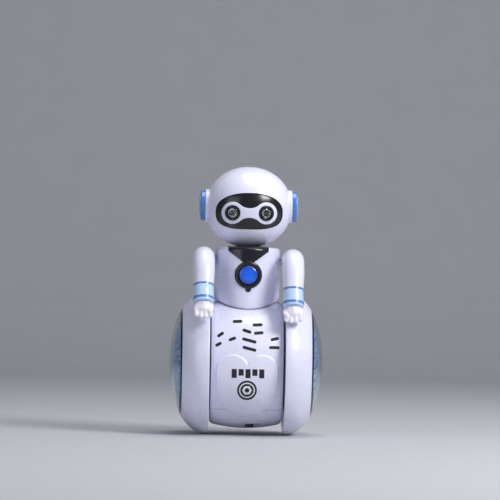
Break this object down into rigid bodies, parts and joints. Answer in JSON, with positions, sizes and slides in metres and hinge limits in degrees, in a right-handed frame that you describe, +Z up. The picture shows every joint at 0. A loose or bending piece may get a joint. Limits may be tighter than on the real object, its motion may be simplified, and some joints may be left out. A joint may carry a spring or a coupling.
{
  "type": "humanoid robot kit",
  "caption": "Small two-wheeled self-righting toy robot with a barrel body between domed wheels, a torso with a chest button, a round head and two arms.",
  "frame": {"origin": "on the floor, midway between the two wheels and below the axle", "axes": "+X along the wheel axle towards the robot's left, +Z up from the floor to the top of the head, the robot faces -Y"},
  "size_m": [0.064, 0.06, 0.1123],
  "materials": {
    "white_shell": "glossy moulded, slightly cool white",
    "blue_cuff": "glossy light blue with two mid-blue bands",
    "wheel_print": "white disc with a printed pattern of blue swirls",
    "clear_cap": "clear moulded plastic with a faint blue tint",
    "clear_lens": "clear moulded plastic",
    "black_gloss": "glossy black",
    "black_matte": "matte black",
    "blue_button": "glossy bright blue, a little translucent",
    "ear_cap": "glossy pale blue white",
    "steel": "zinc plated",
    "ballast_iron": "bare cast metal",
    "brass": "turned",
    "gear_plastic": "natural moulded plastic",
    "circuit_board": "solder resist green"
  },
  "bodies": {
    "body": {"barrel_front_shell": "white_shell", "barrel_rear_shell": "white_shell", "bottom_cover": "white_shell", "bottom_cover_screws": "steel", "barrel_screws": "steel", "ballast_front": "ballast_iron", "ballast_rear": "ballast_iron", "battery_tray": "black_matte", "button_cells": "steel", "battery_contacts": "steel", "speaker": "black_matte", "slide_switch": "black_matte", "drive_motor": "steel", "gearbox_plate_left": "gear_plastic", "gearbox_plate_right": "gear_plastic", "gearbox_posts": "steel", "gear_pins": "steel", "axle_bushings": "brass", "torso_front_shell": "white_shell", "torso_rear_shell": "white_shell", "torso_screws": "steel", "chest_collar": "black_gloss", "button_bezel": "black_gloss", "main_board": "circuit_board", "tact_switch": "black_matte", "neck_post": "black_gloss", "shoulder_pins": "steel"},
    "wheels": {"axle": "steel", "axle_gear": "gear_plastic", "left_wheel_drum": "white_shell", "right_wheel_drum": "white_shell", "left_wheel_insert": "wheel_print", "right_wheel_insert": "wheel_print", "left_wheel_cap": "clear_cap", "right_wheel_cap": "clear_cap"},
    "first_idler": {"first_idler_gear": "gear_plastic"},
    "second_idler": {"second_idler_gear": "gear_plastic"},
    "motor_rotor": {"motor_pinion": "brass", "motor_shaft": "steel"},
    "head": {"head_front_shell": "white_shell", "head_rear_shell": "white_shell", "head_screws": "steel", "face_mask": "black_gloss", "eye_goggle": "white_shell", "eye_rings": "black_gloss", "eye_lenses": "clear_lens", "eye_leds": "clear_lens", "eye_board": "circuit_board", "ear_discs": "blue_button", "ear_caps": "ear_cap"},
    "left_arm": {"left_arm": "white_shell", "left_cuff": "blue_cuff", "left_hand": "white_shell"},
    "right_arm": {"right_arm": "white_shell", "right_cuff": "blue_cuff", "right_hand": "white_shell"},
    "chest_button": {"chest_button": "blue_button"},
    "power_slider": {"power_slider": "black_matte"}
  },
  "joints": [
    {"name": "wheel_spin", "type": "hinge", "parent": "body", "child": "wheels", "pos_m": [0, 0, 0.03], "axis": [1, 0, 0], "continuous": true},
    {"name": "first_idler_spin", "type": "hinge", "parent": "body", "child": "first_idler", "pos_m": [0, 0.00238, 0.03889], "axis": [1, 0, 0], "continuous": true},
    {"name": "second_idler_spin", "type": "hinge", "parent": "body", "child": "second_idler", "pos_m": [0, 0.0107, 0.03772], "axis": [1, 0, 0], "continuous": true},
    {"name": "motor_spin", "type": "hinge", "parent": "body", "child": "motor_rotor", "pos_m": [0, 0.014, 0.03], "axis": [1, 0, 0], "continuous": true},
    {"name": "head_turn", "type": "hinge", "parent": "body", "child": "head", "pos_m": [0, 0, 0.079], "axis": [0, 0, 1], "range_deg": [-60, 60]},
    {"name": "left_arm_raise", "type": "hinge", "parent": "body", "child": "left_arm", "pos_m": [0.0186, 0, 0.0732], "axis": [-1, 0, 0], "range_deg": [0, 35]},
    {"name": "right_arm_raise", "type": "hinge", "parent": "body", "child": "right_arm", "pos_m": [-0.0186, 0, 0.0732], "axis": [-1, 0, 0], "range_deg": [-3.5, 31.5]},
    {"name": "chest_button_press", "type": "slide", "parent": "body", "child": "chest_button", "axis": [0, 1, 0], "range_m": [0, 0.0012], "stiffness_N_per_m": 900, "springref_m": -0.0004},
    {"name": "power_slide", "type": "slide", "parent": "body", "child": "power_slider", "axis": [1, 0, 0], "range_m": [0, 0.0026]}
  ],
  "couplings": [
    {"joint": "first_idler_spin", "follows": "wheel_spin", "ratio": -3.6},
    {"joint": "second_idler_spin", "follows": "wheel_spin", "ratio": 11.52},
    {"joint": "motor_spin", "follows": "wheel_spin", "ratio": -36.864}
  ]
}
